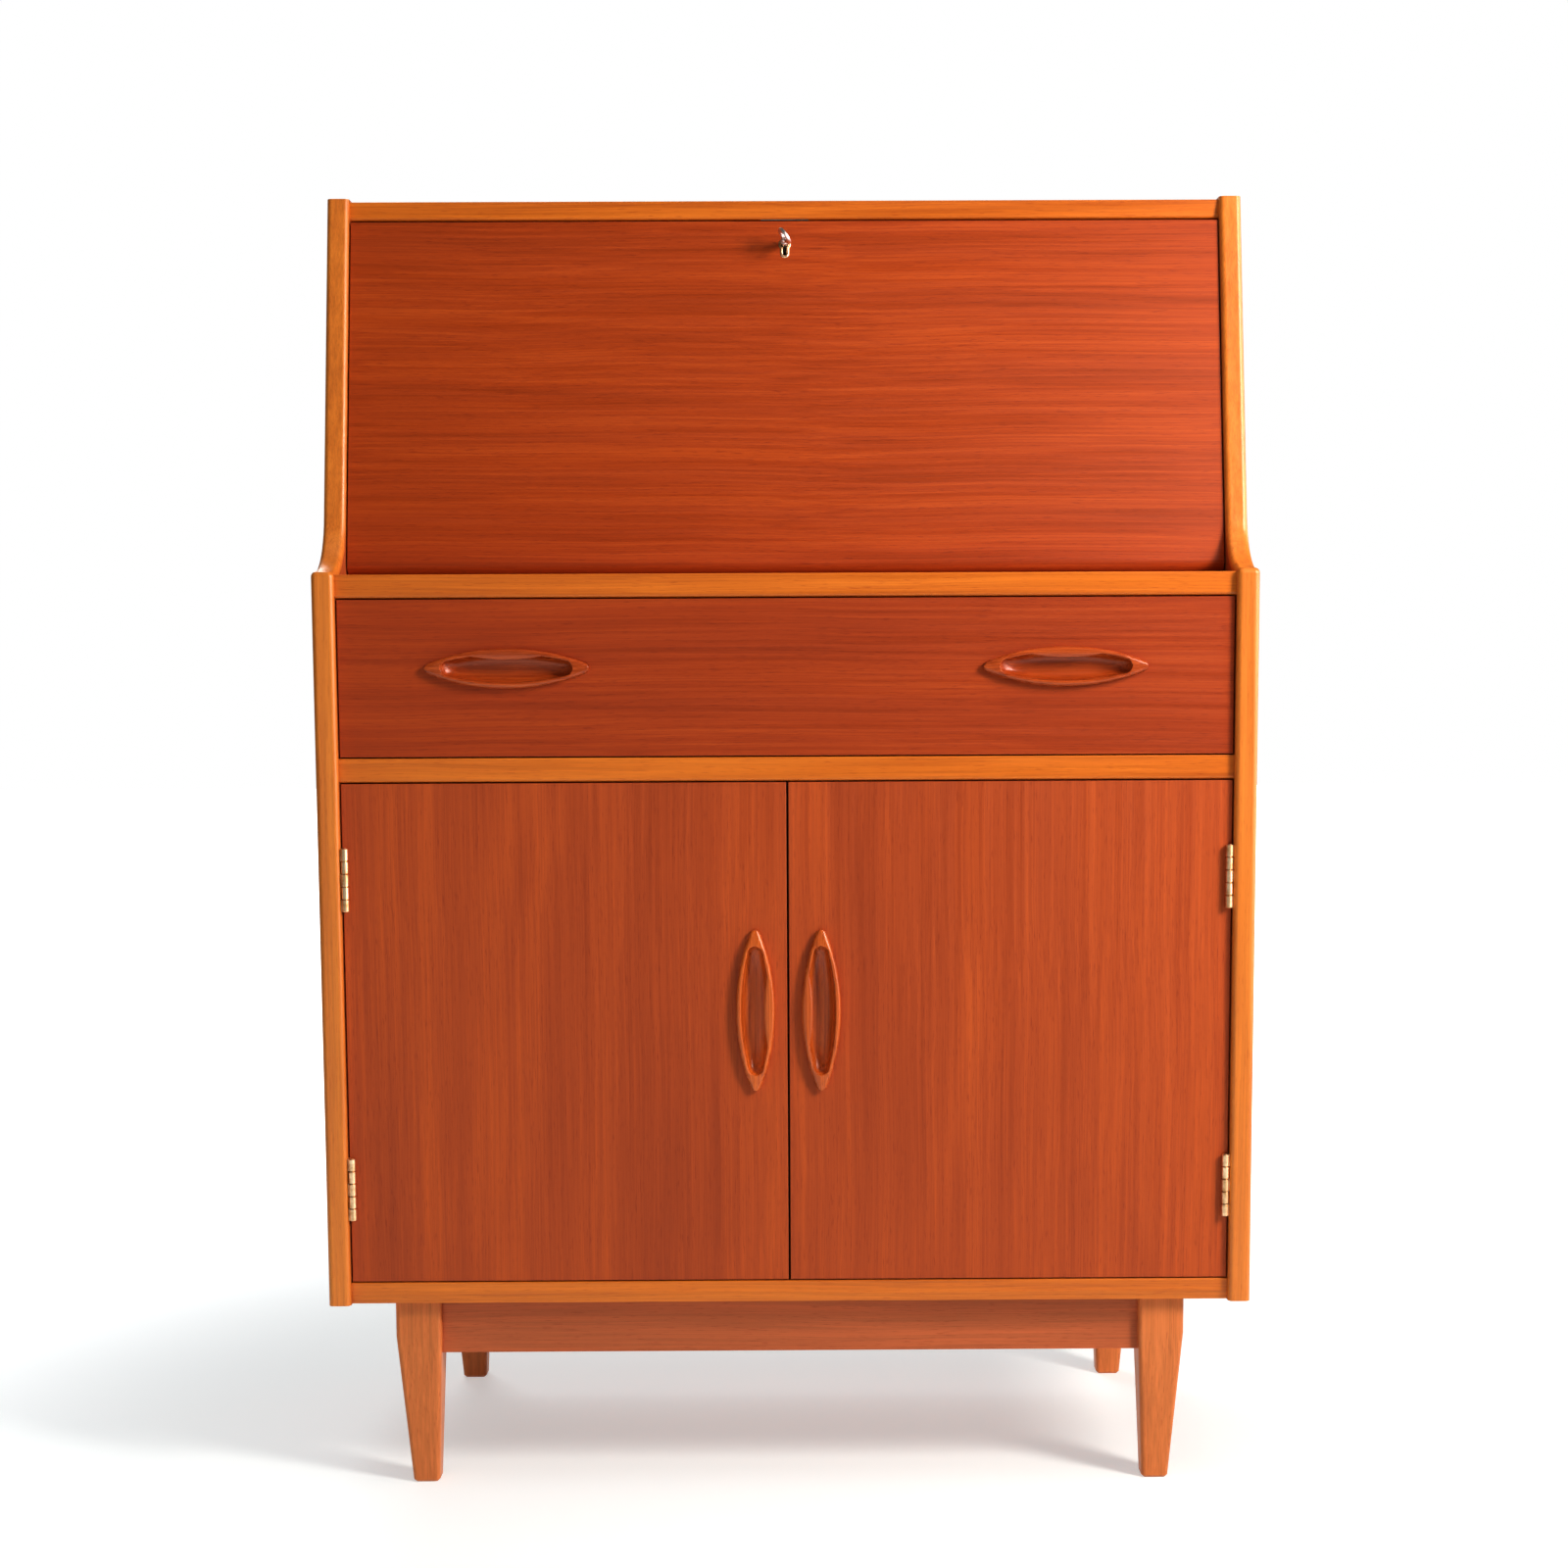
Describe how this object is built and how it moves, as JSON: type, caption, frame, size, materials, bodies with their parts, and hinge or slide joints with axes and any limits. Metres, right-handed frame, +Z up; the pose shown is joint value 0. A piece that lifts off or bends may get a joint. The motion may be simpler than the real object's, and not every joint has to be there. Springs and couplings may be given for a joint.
{
  "type": "secretary desk",
  "caption": "Drop-front writing desk with sloping shoulders, a pull-out drawer, a hinged-door cupboard, scooped eye-shaped pulls and tapered legs.",
  "frame": {"origin": "centre of the bounding box's footprint, on the floor", "axes": "+Z up, +X to the right as the desk is seen from the front, +Y from the front towards the back"},
  "size_m": [0.762, 0.4, 1.072],
  "materials": {
    "side_veneer": "satin teak veneer, grain upright",
    "teak_lipping": "satin solid teak, lighter than the veneer",
    "board_veneer": "satin teak veneer",
    "fall_veneer": "satin teak veneer, grain across",
    "drawer_veneer": "satin teak veneer, grain across",
    "door_veneer": "satin teak veneer, grain upright",
    "handle_teak": "satin solid teak",
    "leg_teak": "satin solid teak",
    "plywood": "unpolished birch plywood",
    "beech": "plain beech",
    "inner_veneer": "satin mahogany veneer",
    "brass": "polished brass, dulled",
    "steel": "bright zinc",
    "nickel": "nickel plate, worn",
    "white_plastic": "moulded plastic"
  },
  "bodies": {
    "case": {"side_left": "side_veneer", "side_right": "side_veneer", "side_lippings": "teak_lipping", "bottom_board": "board_veneer", "mid_board": "board_veneer", "desk_board": "board_veneer", "top_board": "board_veneer", "rail_lippings": "teak_lipping", "back_panel": "plywood", "board_dowels": "beech", "case_screws": "steel", "writing_floor": "board_veneer", "pigeonhole_uprights": "inner_veneer", "pigeonhole_top": "inner_veneer", "pigeonhole_trays": "inner_veneer", "cupboard_shelf": "board_veneer", "shelf_pins": "brass", "drawer_runners": "beech", "fall_stop": "beech", "strike_plate": "steel", "hinge_case_leaves": "brass", "hinge_pins": "brass", "door_catches": "white_plastic", "stay_studs": "brass", "fall_pivot_bushes": "brass", "leg_front_left": "leg_teak", "leg_front_right": "leg_teak", "leg_rear_left": "leg_teak", "leg_rear_right": "leg_teak", "cross_aprons": "leg_teak", "side_aprons": "leg_teak", "corner_blocks": "beech", "frame_screws": "steel"},
    "drawer": {"drawer_front": "drawer_veneer", "drawer_side_left": "beech", "drawer_side_right": "beech", "drawer_back": "beech", "drawer_bottom": "plywood", "drawer_handle_left": "handle_teak", "drawer_handle_right": "handle_teak"},
    "door_left": {"door_left": "door_veneer", "door_handle_left": "handle_teak", "hinge_leaves_left": "brass", "door_screws_left": "brass", "catch_plate_left": "steel"},
    "door_right": {"door_right": "door_veneer", "door_handle_right": "handle_teak", "hinge_leaves_right": "brass", "door_screws_right": "brass", "catch_plate_right": "steel"},
    "fall": {"fall_panel": "fall_veneer", "fall_pivot_pins": "brass", "stay_brackets": "brass", "bracket_screws": "brass", "escutcheon": "brass", "lock_case": "steel"},
    "stay_left": {"stay_left": "brass"},
    "stay_right": {"stay_right": "brass"},
    "lock_bolt": {"lock_bolt": "brass"},
    "key": {"key": "nickel"}
  },
  "joints": [
    {"name": "drawer_slide", "type": "slide", "parent": "case", "child": "drawer", "axis": [0, -1, 0], "range_m": [0, 0.28]},
    {"name": "door_left_hinge", "type": "hinge", "parent": "case", "child": "door_left", "pos_m": [-0.3596, -0.1965, 0.38375], "axis": [0, 0, -1], "range_deg": [0, 150]},
    {"name": "door_right_hinge", "type": "hinge", "parent": "case", "child": "door_right", "pos_m": [0.3596, -0.1965, 0.38375], "axis": [0, 0, 1], "range_deg": [0, 150]},
    {"name": "fall_hinge", "type": "hinge", "parent": "case", "child": "fall", "pos_m": [0, -0.13146, 0.7675], "axis": [1, 0, 0], "range_deg": [0, 101]},
    {"name": "stay_left_swing", "type": "hinge", "parent": "fall", "child": "stay_left", "pos_m": [-0.3575, -0.09018, 0.89077], "axis": [1, 0, 0], "range_deg": [-51, 0]},
    {"name": "stay_right_swing", "type": "hinge", "parent": "fall", "child": "stay_right", "pos_m": [0.3575, -0.09018, 0.89077], "axis": [1, 0, 0], "range_deg": [-51, 0]},
    {"name": "key_turn", "type": "hinge", "parent": "fall", "child": "key", "pos_m": [0, -0.08895, 1.03337], "axis": [0, -0.9816, 0.1908], "range_deg": [0, 90.5]},
    {"name": "bolt_throw", "type": "slide", "parent": "fall", "child": "lock_bolt", "axis": [0, 0.1908, 0.9816], "range_m": [0, 0.0075]}
  ],
  "couplings": [
    {"joint": "stay_left_swing", "follows": "fall_hinge", "ratio": -0.5},
    {"joint": "stay_right_swing", "follows": "fall_hinge", "ratio": -0.5},
    {"joint": "key_turn", "follows": "bolt_throw", "rad_per_m": 209.44}
  ]
}
